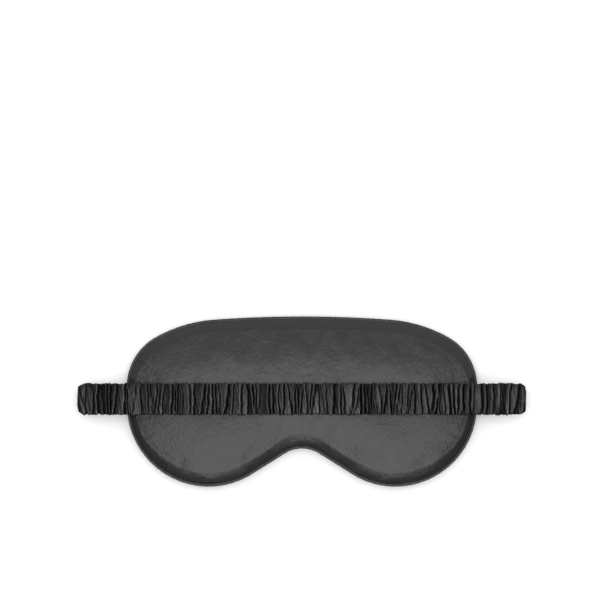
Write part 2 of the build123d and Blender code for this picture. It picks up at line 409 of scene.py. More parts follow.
@dataclass(frozen=True)
class Satin:
    """Polyester satin: dark cloth with a broad soft gloss.

    Attributes:
        name: Name of the material.
        colour: Base colour, linear.
        lift: Lighter colour that the Mottle cloud lays in at random patches, a painted sheen of cloth that
            catches more light, linear.
        roughness: Mean roughness of the gloss.
        sheen: Weight of the fuzzy rim light.
        gloss: Specular level on the crests.
        weave: Depth of the weave, in metres.
        creases: Depth of the soft creases, in metres.
        crinkles: Depth of the small crinkles, in metres.
        attribute: Name of the vertex attribute that paints shade into the pleats' grooves and takes their
            gloss away, or empty.
    """

    name: str
    colour: tuple[float, float, float]
    lift: tuple[float, float, float]
    roughness: float
    sheen: float
    gloss: float = 0.5
    weave: float = 0.00003
    creases: float = 0.0004
    crinkles: float = 0.00018
    attribute: str = ""

    def build(self) -> bpy.types.Material:
        """Makes the material's node tree.

        Returns:
            The material.
        """
        material = bpy.data.materials.new(self.name)
        material.use_nodes = True
        nodes, links = material.node_tree.nodes, material.node_tree.links
        shader = nodes["Principled BSDF"]
        place = nodes.new("ShaderNodeTexCoord")
        weave = nodes.new("ShaderNodeGroup")
        weave.node_tree = NodeBook.satin_weave()
        weave.inputs["Thread"].default_value = 2600.0
        weave.inputs["Cloud"].default_value = 160.0
        links.new(place.outputs["Object"], weave.inputs["Vector"])
        # Painted sheen: the Mottle cloud mixes the lighter lift colour into the base colour in random
        # patches.
        tone = nodes.new("ShaderNodeMix")
        tone.data_type = "RGBA"
        tone.inputs["A"].default_value = (*self.colour, 1.0)
        tone.inputs["B"].default_value = (*self.lift, 1.0)
        links.new(weave.outputs["Mottle"], tone.inputs["Factor"])
        colour = tone.outputs["Result"]
        # Painted shade: where the attribute is 0, in the pleats' grooves, the colour falls to 0.08 of
        # itself and the specular level to 0.
        if self.attribute:
            fold = nodes.new("ShaderNodeAttribute")
            fold.attribute_name = self.attribute
            shade = nodes.new("ShaderNodeMix")
            shade.data_type = "RGBA"
            shade.inputs["A"].default_value = (*(c * 0.08 for c in self.colour), 1.0)
            links.new(fold.outputs["Fac"], shade.inputs["Factor"])
            links.new(colour, shade.inputs["B"])
            colour = shade.outputs["Result"]
            groove_gloss_cut = nodes.new("ShaderNodeMapRange")
            groove_gloss_cut.inputs["To Min"].default_value = 0.0
            groove_gloss_cut.inputs["To Max"].default_value = self.gloss
            links.new(fold.outputs["Fac"], groove_gloss_cut.inputs["Value"])
            links.new(groove_gloss_cut.outputs["Result"], shader.inputs["Specular IOR Level"])
        links.new(colour, shader.inputs["Base Color"])
        rough = nodes.new("ShaderNodeMapRange")
        rough.inputs["To Min"].default_value = self.roughness - 0.06
        rough.inputs["To Max"].default_value = self.roughness + 0.06
        links.new(weave.outputs["Mottle"], rough.inputs["Value"])
        links.new(rough.outputs["Result"], shader.inputs["Roughness"])
        shader.inputs["Specular IOR Level"].default_value = self.gloss
        shader.inputs["Sheen Weight"].default_value = self.sheen
        shader.inputs["Sheen Roughness"].default_value = 0.4
        cloth = nodes.new("ShaderNodeBump")
        cloth.inputs["Distance"].default_value = self.weave
        cloth.inputs["Strength"].default_value = 0.6
        links.new(weave.outputs["Height"], cloth.inputs["Height"])
        crease = nodes.new("ShaderNodeBump")
        crease.inputs["Distance"].default_value = self.creases
        crease.inputs["Strength"].default_value = 0.8
        links.new(weave.outputs["Mottle"], crease.inputs["Height"])
        links.new(cloth.outputs["Normal"], crease.inputs["Normal"])
        crinkle = nodes.new("ShaderNodeBump")
        crinkle.inputs["Distance"].default_value = self.crinkles
        crinkle.inputs["Strength"].default_value = 1.0
        links.new(weave.outputs["Streak"], crinkle.inputs["Height"])
        links.new(crease.outputs["Normal"], crinkle.inputs["Normal"])
        links.new(crinkle.outputs["Normal"], shader.inputs["Normal"])
        return material


@dataclass(frozen=True)
class Fibre:
    """Plain fibre finish for wadding, lining, cord and thread.

    Attributes:
        name: Name of the material.
        colour: Base colour, linear.
        grain: Scale of the fibre noise.
        depth: Depth of the fibre relief, in metres.
        roughness: Roughness of the surface.
    """

    name: str
    colour: tuple[float, float, float]
    grain: float
    depth: float
    roughness: float = 0.9

    def build(self) -> bpy.types.Material:
        """Makes the material's node tree.

        Returns:
            The material.
        """
        material = bpy.data.materials.new(self.name)
        material.use_nodes = True
        nodes, links = material.node_tree.nodes, material.node_tree.links
        shader = nodes["Principled BSDF"]
        shader.inputs["Roughness"].default_value = self.roughness
        place = nodes.new("ShaderNodeTexCoord")
        noise = nodes.new("ShaderNodeTexNoise")
        noise.inputs["Scale"].default_value = self.grain
        noise.inputs["Detail"].default_value = 6.0
        links.new(place.outputs["Object"], noise.inputs["Vector"])
        tone = nodes.new("ShaderNodeMix")
        tone.data_type = "RGBA"
        tone.inputs["A"].default_value = (*(c * 0.7 for c in self.colour), 1.0)
        tone.inputs["B"].default_value = (*self.colour, 1.0)
        links.new(noise.outputs["Fac"], tone.inputs["Factor"])
        links.new(tone.outputs["Result"], shader.inputs["Base Color"])
        relief = nodes.new("ShaderNodeBump")
        relief.inputs["Distance"].default_value = self.depth
        links.new(noise.outputs["Fac"], relief.inputs["Height"])
        links.new(relief.outputs["Normal"], shader.inputs["Normal"])
        return material


@dataclass(frozen=True)
class Finishes:
    """Every finish of the mask, built once.

    Attributes:
        panel: Satin of both panels.
        piping: Satin of the bias tube.
        strap: Satin of the gathered sleeve and of the strap's ends.
        elastic: Woven elastic inside the sleeve.
        wadding: Loose fibre inside the panels.
        lining: Light-blocking cloth between the waddings.
        cord: Filler cord in the bias tube.
        thread: Sewing thread of the seams and tacks.
    """

    panel: bpy.types.Material
    piping: bpy.types.Material
    strap: bpy.types.Material
    elastic: bpy.types.Material
    wadding: bpy.types.Material
    lining: bpy.types.Material
    cord: bpy.types.Material
    thread: bpy.types.Material

    @classmethod
    def make(cls) -> "Finishes":
        """Builds the set.

        Returns:
            The finishes.
        """
        return cls(
            panel=Satin("panel_satin", (0.015, 0.015, 0.016), (0.021, 0.021, 0.022), 0.34, 0.03,
                        gloss=0.56).build(),
            piping=Satin("piping_satin", (0.015, 0.015, 0.016), (0.021, 0.021, 0.022), 0.36, 0.03).build(),
            strap=Satin("strap_satin", (0.028, 0.028, 0.029), (0.040, 0.040, 0.041), 0.28, 0.0,
                        gloss=1.0, attribute="fold").build(),
            elastic=Fibre("elastic_web", (0.02, 0.02, 0.02), 900.0, 0.0001).build(),
            wadding=Fibre("wadding_fibre", (0.8, 0.8, 0.78), 400.0, 0.0006).build(),
            lining=Fibre("blackout_cloth", (0.012, 0.012, 0.013), 2500.0, 0.00006).build(),
            cord=Fibre("cotton_cord", (0.6, 0.6, 0.56), 1500.0, 0.0001).build(),
            thread=Fibre("sewing_thread", (0.02, 0.02, 0.022), 3000.0, 0.00005).build(),
        )


def dress(obj: bpy.types.Object, material: bpy.types.Material) -> None:
    """Gives the object one material.

    Args:
        obj: The object.
        material: Its material.
    """
    obj.data.materials.clear()
    obj.data.materials.append(material)


# ---------------------------------------------------------------------------------------
# The padded body
# ---------------------------------------------------------------------------------------


@dataclass(frozen=True)
class Profile:
    """How a panel rises from its seam to its crown.

    Attributes:
        inset: Where the panel bulges furthest out, inside the outline.
        tuck: How far the panel's seam edge lies inside that.
        foot: Height of the seam edge above or below the seam plane.
        roll: Height gained by the rolled rim.
        side_reach: Width of the rolled rim at the temples.
        brow_reach: Width of the rolled rim along the brow.
        lobe_reach: Width of the rolled rim under the lobes.
        nose_reach: Width of the rolled rim over the nose arch.
        slope: Height gained by the gentle slope behind it.
        slope_reach: Width of the slope.
    """

    inset: float
    tuck: float
    foot: float
    roll: float
    side_reach: float
    brow_reach: float
    lobe_reach: float
    nose_reach: float
    slope: float
    slope_reach: float

    def reach(self, plan: np.ndarray) -> np.ndarray:
        """Width of the rolled rim nearest to each point of the plan, blended between the four.

        Args:
            plan: Points with x and y in the last axis.

        Returns:
            The width at each point.
        """
        x, y = plan[..., 0], plan[..., 1]
        low = smoothstep((-y - 14 * MM) / (30 * MM))
        high = smoothstep((y - 8 * MM) / (26 * MM))
        nose = np.exp(-((x / (19 * MM)) ** 2)) * smoothstep(-y / (20 * MM))
        width = self.side_reach + (self.lobe_reach - self.side_reach) * low
        width = width + (self.brow_reach - self.side_reach) * high
        return width + (self.nose_reach - width) * nose

    def height(self, depth: np.ndarray, plan: np.ndarray) -> np.ndarray:
        """Height over the seam edge at a distance from the rim.

        The rim rises steeply and turns over in its last third, as satin does that is pulled
        over a piped seam; the slope rises evenly and then levels off through a parabola.

        Args:
            depth: Distance from the rim.
            plan: x and y of each point.

        Returns:
            The height.
        """
        t = np.clip(depth / self.reach(plan), 0.0, 1.0)
        rim = np.power(1.0 - np.power(1.0 - t, 1.35), 0.7)
        ease = 0.22
        u = depth / self.slope_reach
        level = np.where(u < 1 - ease, u, u - (u - 1 + ease) ** 2 / (4 * ease))
        level = np.where(u > 1 + ease, 1.0, level)
        return self.roll * rim + self.slope * level


@dataclass(frozen=True)
class ClothSettle:
    """Cloth simulation that adds faint wrinkles to a stuffed panel.

    A sheet starts from the panel's crowned shape with its edge held in the seam, and pressure
    pushes it outwards. Only the small unevenness it ends with is kept, because the crown's
    height is already set by the panel.

    Attributes:
        pressure: Pressure from inside.
        excess: How much longer the threads are than the shape needs, as a share.
        frames: Steps of the simulation.
        cap: Greatest height of a wrinkle.
        swell: Width of the slow swell that is left out, in points of the sheet; odd.
        smoothing: Width of the last smoothing, in points of the panel; odd.
        quality: Steps of the solver in a frame.
        mass: Mass of a point, in kg.
        stretch: Stiffness against stretching and pushing together.
        shear: Stiffness against shearing.
        bending: Stiffness against bending.
    """

    pressure: float = 4.0
    excess: float = 0.008
    frames: int = 20
    cap: float = 0.15 * MM
    swell: int = 9
    smoothing: int = 3
    quality: int = 6
    mass: float = 0.05
    stretch: float = 12.0
    shear: float = 4.0
    bending: float = 0.05

    def simulate(self, grid: np.ndarray) -> np.ndarray:
        """Runs the cloth on a grid of points.

        Args:
            grid: Rows x columns x 3; the first and last row are the poles at the temples.

        Returns:
            How far each point has moved.
        """
        inner = grid[1:-1]
        sheet = grid_mesh("settling", inner, around=False, along=False)
        mesh = sheet.data
        normals = np.empty(3 * len(mesh.polygons), np.float32)
        mesh.polygons.foreach_get("normal", normals)
        if normals[2::3].sum() < 0:
            mesh.flip_normals()
        index = np.arange(inner[..., 0].size).reshape(inner.shape[:2])
        rim = np.concatenate([index[0], index[-1], index[:, 0], index[:, -1]])
        sheet.vertex_groups.new(name="seam").add(np.unique(rim).tolist(), 1.0, "REPLACE")
        settings = sheet.modifiers.new("cloth", "CLOTH").settings
        settings.quality = self.quality
        settings.mass = self.mass
        settings.tension_stiffness = settings.compression_stiffness = self.stretch
        settings.shear_stiffness = self.shear
        settings.bending_stiffness = self.bending
        settings.vertex_group_mass = "seam"
        settings.use_pressure = True
        settings.uniform_pressure_force = self.pressure
        settings.shrink_min = -self.excess
        settings.effector_weights.gravity = 0.0
        scene = bpy.context.scene
        for frame in range(1, self.frames + 1):
            scene.frame_set(frame)
        shape = sheet.evaluated_get(bpy.context.evaluated_depsgraph_get()).to_mesh()
        points = np.empty(inner.size, np.float32)
        shape.vertices.foreach_get("co", points)
        bpy.data.objects.remove(sheet)
        bpy.data.meshes.remove(mesh)
        scene.frame_set(1)
        moved = np.zeros(grid.shape)
        moved[1:-1] = points.reshape(inner.shape) - inner
        return moved

    def relief(self, grid: np.ndarray, rows: int, columns: int) -> np.ndarray:
        """Wrinkles for a finer grid.

        The slow swell is taken away with a box average, and the rest is capped smoothly by
        cap * tanh(height / cap), then stretched to the finer grid and smoothed twice.

        Args:
            grid: The coarse grid.
            rows: Rows of the finer grid, over the same plan.
            columns: Columns of the finer grid.

        Returns:
            The wrinkles' height at each point of the finer grid.
        """
        rise = self.simulate(grid)[..., 2]
        LOG.info("cloth moved %.2f mm at most", 1000 * float(np.abs(rise).max()))
        wide = rise
        for axis in (0, 1, 0, 1):
            wide = self.average(wide, self.swell, axis)
        fine = self.cap * np.tanh((rise - wide) / self.cap)
        for axis, count in ((0, rows), (1, columns)):
            at = np.linspace(0.0, fine.shape[axis] - 1.0, count)
            low = np.minimum(at.astype(int), fine.shape[axis] - 2)
            share = (at - low)[:, None] if axis == 0 else (at - low)[None]
            fine = np.take(fine, low, axis) * (1 - share) + np.take(fine, low + 1, axis) * share
        for axis in (0, 1, 0, 1):
            fine = self.average(fine, self.smoothing, axis)
        return fine

    @staticmethod
    def average(values: np.ndarray, width: int, axis: int) -> np.ndarray:
        """Running average along one axis, with the ends held.

        Args:
            values: Rows x columns.
            width: Width of the average; odd.
            axis: The axis it runs along.

        Returns:
            The averages, in the same shape.
        """
        pad = [(0, 0), (0, 0)]
        pad[axis] = (width // 2 + 1, width // 2)
        total = np.cumsum(np.pad(values, pad, mode="edge"), axis=axis)
        count = values.shape[axis]
        high = np.take(total, np.arange(width, width + count), axis)
        return (high - np.take(total, np.arange(count), axis)) / width


@dataclass
class PaddedBody:
    """Both satin panels, the wadding in them and the piping round the edge.

    Attributes:
        outline: The mask's outline.
        seam: Height of the edge seam.
        top: Height of the back panel's crown.
        tube: Radius of the piping.
        tube_z: Height of the piping's middle.
        strap_y: Middle line of the strap, which presses a shallow trough into the back.
        finishes: The materials.
        across: Points from temple to temple.
        up: Points from brow to lobes.
        base_rows: Points across the flat base that closes a panel.
        wadding_share: The wadding's grid is this many times coarser.
        skin: Room that the wadding leaves for the panel.
        back_inset: How far the back panel stays inside the piping's edge.
        cloth: The simulation that wrinkles the panels.
        thinning: The simulated sheet's grid is this many times coarser.
        trough_depth: Depth of the strap's trough.
        trough_reach: Distance from the strap's middle where a third of the trough is left.
        pieces: The pieces made so far.
    """

    outline: Outline
    seam: float
    top: float
    tube: float
    tube_z: float
    strap_y: float
    finishes: Finishes
    across: int = 420
    up: int = 168
    base_rows: int = 6
    wadding_share: int = 3
    skin: float = 0.7 * MM
    back_inset: float = 0.6 * MM
    cloth: ClothSettle = ClothSettle()
    thinning: int = 3
    trough_depth: float = 0.75 * MM
    trough_reach: float = 13.0 * MM
    pieces: list[bpy.types.Object] = field(default_factory=list)

    def profile(self, side: Side, skin: float) -> Profile:
        """Profile of a panel, or of the wadding under it.

        Args:
            side: Which panel.
            skin: Thickness kept free outside the surface.

        Returns:
            The profile.
        """
        if side is Side.BACK:
            room, inset, tuck = self.top - self.seam, self.back_inset, 1.5 * MM
            slope, slope_reach = 3.2 * MM, 25.0 * MM
            reaches = (4.6 * MM, 7.0 * MM, 8.0 * MM, 9.5 * MM)
        else:
            room, inset, tuck = self.seam, 2 * self.tube - 0.15 * MM, 0.0
            slope, slope_reach = 0.9 * MM, 16.0 * MM
            reaches = (8.0 * MM, 8.5 * MM, 8.5 * MM, 8.5 * MM)
        foot = 0.3 * MM
        roll = room - foot - skin - slope
        return Profile(inset + skin, tuck, foot, roll, *reaches, slope, slope_reach)

    def plan(self, inset: float, coarse: int = 1) -> np.ndarray:
        """Grid over the body's plan, with its poles at the temples.

        A column runs from the brow to the lobe stretch of the outline; rows and columns crowd
        towards the edge by a cosine, so that the rolled rim is finely divided.

        Args:
            inset: How far inside the outline the grid ends.
            coarse: Divides the number of rows and columns.

        Returns:
            The grid's x and y.
        """
        u = (1.0 - np.cos(np.linspace(0.0, math.pi, self.across // coarse))) / 2
        v = (1.0 - np.cos(np.linspace(0.0, math.pi, self.up // coarse))) / 2
        brow, total = self.outline.brow_share(), self.outline.total()
        upper, _ = self.outline.at(u * brow, inset)
        lower, _ = self.outline.at(total - u * (total - brow), inset)
        return upper[:, None] * (1 - v[None, :, None]) + lower[:, None] * v[None, :, None]

    def edge_distance(self, plan: np.ndarray, inset: float) -> tuple[np.ndarray, np.ndarray]:
        """Distance of each plan point from the inset outline, and where along it is nearest.

        Args:
            plan: Points with x and y in the last axis.
            inset: Inset of the outline that is measured to.

        Returns:
            The distances and the places along the outline.
        """
        count = 1500
        places = np.arange(count) * self.outline.total() / count
        edge, _ = self.outline.at(places, inset)
        flat = plan.reshape(-1, 2)
        near = np.empty(len(flat), int)
        for block in np.array_split(np.arange(len(flat)), 40):
            gap = flat[block, None] - edge[None]
            near[block] = (gap**2).sum(-1).argmin(1)
        after = edge[(near + 1) % count] - edge[near - 1]
        after /= np.linalg.norm(after, axis=1)[:, None]
        offset = flat - edge[near]
        along = (offset * after).sum(1)
        across = np.abs(offset[:, 0] * after[:, 1] - offset[:, 1] * after[:, 0])
        return across.reshape(plan.shape[:-1]), (places[near] + along).reshape(plan.shape[:-1])

    def relief(self, plan: np.ndarray, depth: np.ndarray, place: np.ndarray, side: Side) -> np.ndarray:
        """Soft unevenness of the padded satin, in metres outwards.

        Puckers run in from the seam: an irregular wave along the edge that fades inwards, and
        that is strongest beside the strap. Slow swells of the wadding cover the middle.

        Args:
            plan: x and y of each point.
            depth: Distance from the seam.
            place: Place along the outline.
            side: Which panel.

        Returns:
            The height to add at each point.
        """
        seed = 11 if side is Side.BACK else 23
        x, y = plan[..., 0], plan[..., 1]
        by_strap = np.exp(-((y - 2 * MM) / (24 * MM)) ** 2) * smoothstep((np.abs(x) - 70 * MM) / (30 * MM))
        rise = smoothstep(depth / (2.0 * MM))
        fine = waves(place, (6.1 * MM, 8.3 * MM, 11.7 * MM, 4.7 * MM), seed)
        fine = fine * np.exp(-depth / (7.0 * MM)) * rise * (0.04 + 0.20 * by_strap)
        broad = waves(place, (19 * MM, 27 * MM, 41 * MM), seed + 1)
        broad = broad * np.exp(-depth / (16.0 * MM)) * rise * (0.08 + 0.12 * by_strap)
        slow = waves(x + 0.6 * y, (34 * MM, 57 * MM, 83 * MM), seed + 2)
        slow = slow * waves(y - 0.3 * x, (29 * MM, 47 * MM, 71 * MM), seed + 3)
        slow = slow * smoothstep(depth / (20 * MM)) * 0.08
        return (fine + broad + slow) * MM

    def sparse(self, axis: int) -> np.ndarray:
        """Points of the fine grid that the simulated sheet keeps, both ends included.

        Args:
            axis: 0 from temple to temple, 1 from brow to lobes.

        Returns:
            Their places in the fine grid.
        """
        count = (self.across, self.up)[axis]
        return np.round(np.linspace(0, count - 1, count // self.thinning)).astype(int)

    def trough(self, plan: np.ndarray, depth: np.ndarray) -> np.ndarray:
        """Depth of the shallow trough that the strap presses into the back.

        Args:
            plan: Points with x and y in the last axis.
            depth: Distance from the seam.

        Returns:
            The depth at each point.
        """
        off = (plan[..., 1] - self.strap_y) / self.trough_reach
        return self.trough_depth * np.exp(-(off**2)) * smoothstep(depth / (2.0 * MM))

    def pad(self, name: str, side: Side, skin: float, coarse: int) -> bpy.types.Object:
        """One crowned half of the body.

        The face follows the profile and the relief; a flat base inside the seam closes it. A
        column of the grid runs over the face from brow to lobe and back along the base. At the
        two temple poles the cells are only micrometres wide, and welding them leaves some edges
        that are not shared by exactly two faces, so the piece is not watertight there.

        Args:
            name: Name of the piece.
            side: Which panel.
            skin: Thickness kept free outside the surface.
            coarse: Divides the number of rows and columns.

        Returns:
            The piece, faces outwards.
        """
        shape = self.profile(side, skin)
        plan = self.plan(shape.inset, coarse)
        depth, place = self.edge_distance(plan, shape.inset)
        height = shape.height(depth, plan)
        if side is Side.BACK:
            height = height - self.trough(plan, depth)
        if skin == 0:
            height = height + self.relief(plan, depth, place, side)
            crowned = np.concatenate([plan, height[..., None]], -1)
            sheet = crowned[self.sparse(0)][:, self.sparse(1)]
            settled = self.cloth.relief(sheet, *plan.shape[:2])
            height = height + settled * smoothstep(depth / (3.0 * MM))
        limit = (self.top if side is Side.BACK else 2 * self.seam) - self.seam - shape.foot - skin
        height = np.minimum(height, limit)
        if side is Side.BACK:
            height = np.where(depth < 0.02 * MM, 1.1 * MM, np.maximum(height, 1.1 * MM))
        face = np.concatenate([plan, (shape.foot + height)[..., None]], -1)
        edge = self.plan(shape.inset + shape.tuck, coarse)
        share = np.linspace(1.0, 0.0, self.base_rows)[None, :, None]
        flat = edge[:, :1] * (1 - share) + edge[:, -1:] * share
        base = np.concatenate([flat, np.full((*flat.shape[:2], 1), shape.foot)], -1)
        points = np.concatenate([face, base], axis=1)
        points[..., 2] = self.seam + side.value * points[..., 2]
        obj = grid_mesh(name, points, around=True, along=False)
        weld(obj)
        face_outwards(obj)
        return obj

    def build(self) -> list[bpy.types.Object]:
        """Makes the panels, the wadding and the piping.

        Returns:
            The pieces.
        """
        for side, word in ((Side.BACK, "back"), (Side.FRONT, "front")):
            panel = self.pad(f"{word}_panel", side, 0.0, 1)
            dress(panel, self.finishes.panel)
            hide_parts(f"{word}_cover")
            wadding = self.pad(f"{word}_wadding", side, self.skin, self.wadding_share)
            dress(wadding, self.finishes.wadding)
            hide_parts(f"{word}_padding")
            for obj in (panel, wadding):
                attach(obj, "mask")
                self.pieces.append(obj)
        self.pieces.append(self.piping())
        return self.pieces

    def piping(self) -> bpy.types.Object:
        """Bias tube: a circle carried along the outline, with slanted wrinkles.

        The radius is the tube's, plus a small wave whose phase moves on round the tube, so
        that the wrinkles slant as they do on a bias strip.

        Returns:
            The closed ring.
        """
        rows, columns = 1400, 20
        places = np.arange(rows) * self.outline.total() / rows
        centre, inward = self.outline.at(places, self.tube)
        angle = np.arange(columns) * 2.0 * math.pi / columns
        slant = places[:, None] + angle[None] * 0.5 * MM
        wave = waves(slant, (2.9 * MM, 3.7 * MM, 5.3 * MM), 5) * 0.035 * MM
        radius = self.tube - 0.04 * MM + wave
        out = -np.cos(angle)[None] * radius
        up = np.sin(angle)[None] * radius
        xy = centre[:, None] + inward[:, None] * out[..., None]
        points = np.concatenate([xy, (self.tube_z + up)[..., None]], axis=-1)
        obj = grid_mesh("piping", points, around=True, along=True)
        face_outwards(obj)
        dress(obj, self.finishes.piping)
        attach(obj, "mask")
        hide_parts("piping_cover")
        return obj


# ---------------------------------------------------------------------------------------
# The gathered strap
# ---------------------------------------------------------------------------------------


@dataclass
class StrapPath:
    """Middle line of the strap at rest, from the left seam to the right seam.

    Attributes:
        seam_x: Where the strap leaves the mask.
        fold_x: Tip of the folded tab.
        tab_z: Height of the lower layer.
        arm_z: Height of the upper layer.
        top_z: Height over the back panel.
        end_depth: How far the ends run into the mask.
        climb_start: Distance outside the seam where the upper layer starts to climb.
        climb_end: Distance outside the seam where it has climbed onto the panel.
    """

    seam_x: float
    fold_x: float
    tab_z: float
    arm_z: float
    top_z: float
    end_depth: float = 3.2 * MM
    climb_start: float = 21.0 * MM
    climb_end: float = 3.0 * MM

    def half(self) -> np.ndarray:
        """Points of the left half, close together: a line, a half circle, a climb and a line.

        Returns:
            x and z of each point.
        """
        radius = (self.arm_z - self.tab_z) / 2
        turn = np.linspace(1.5 * math.pi, 0.5 * math.pi, 60)
        tip = -self.fold_x + 1.5 * MM + radius
        lower = np.linspace(-self.seam_x + self.end_depth, tip, 200)
        low = np.stack([lower, np.full(200, self.tab_z)], -1)
        middle = (self.tab_z + self.arm_z) / 2
        fold = np.stack([tip + radius * np.cos(turn), middle + radius * np.sin(turn)], -1)
        x = np.linspace(tip, 0.0, 1200)
        start, end = -self.seam_x - self.climb_start, -self.seam_x - self.climb_end
        z = self.arm_z + (self.top_z - self.arm_z) * smoothstep((x - start) / (end - start))
        return np.concatenate([low, fold[1:-1], np.stack([x, z], -1)])

    def points(self) -> np.ndarray:
        """The whole line: the left half and its mirror image.

        Returns:
            x and z of each point.
        """
        left = self.half()
        right = left[::-1] * np.array([-1.0, 1.0])
        return np.concatenate([left, right[1:]])

    def table(self) -> tuple[np.ndarray, np.ndarray]:
        """The line's points with their distances.

        Returns:
            The distance along the line to each point, and the points.
        """
        points = self.points()
        steps = np.linalg.norm(np.diff(points, axis=0), axis=1)
        return np.concatenate([[0.0], np.cumsum(steps)]), points

    def at(self, s: np.ndarray) -> tuple[np.ndarray, np.ndarray]:
        """Place and direction along the line.

        Args:
            s: Distances along the line.

        Returns:
            The point and the unit tangent at each, with x and z in the last axis.
        """
        distance, points = self.table()
        step = 0.2 * MM
        place = np.stack([np.interp(s, distance, points[:, k]) for k in range(2)], -1)
        ahead = np.stack([np.interp(s + step, distance, points[:, k]) for k in range(2)], -1)
        behind = np.stack([np.interp(s - step, distance, points[:, k]) for k in range(2)], -1)
        tangent = ahead - behind
        return place, tangent / np.linalg.norm(tangent, axis=-1, keepdims=True)

    def length(self) -> float:
        """Whole length of the strap at rest.

        Returns:
            The length.
        """
        return float(self.table()[0][-1])

    def distance_at(self, x: float, upper: bool) -> float:
        """Distance along the left half where one of its layers has a given x.

        Args:
            x: The x looked for.
            upper: Takes the upper layer, or else the lower one.

        Returns:
            The distance.
        """
        distance, points = self.table()
        keep = (points[:, 1] > (self.tab_z + self.arm_z) / 2) == upper
        keep &= distance <= distance[-1] / 2 + MM
        nearest = np.argmin(np.where(keep, np.abs(points[:, 0] - x), np.inf))
        return float(distance[nearest])


@dataclass
class Stretch:
    """One stretch of strap: where it is cut, and the bend points given for it.

    Attributes:
        name: Name of the stretch.
        start: Distance along the strap where it starts.
        end: Distance where it ends.
        bodies: The body it rides on, or the two bodies on either side of its bend; only the first is read,
            where there is no bend.
        bend: Start and end point of the bend, or None; the points are not used, only whether there is a
            bend.
        nodes: Ends of the names of the CAD nodes it stands for.
    """

    name: str
    start: float
    end: float
    bodies: tuple[str, ...]
    bend: tuple[tuple[float, float, float], tuple[float, float, float]] | None
    nodes: tuple[str, ...]


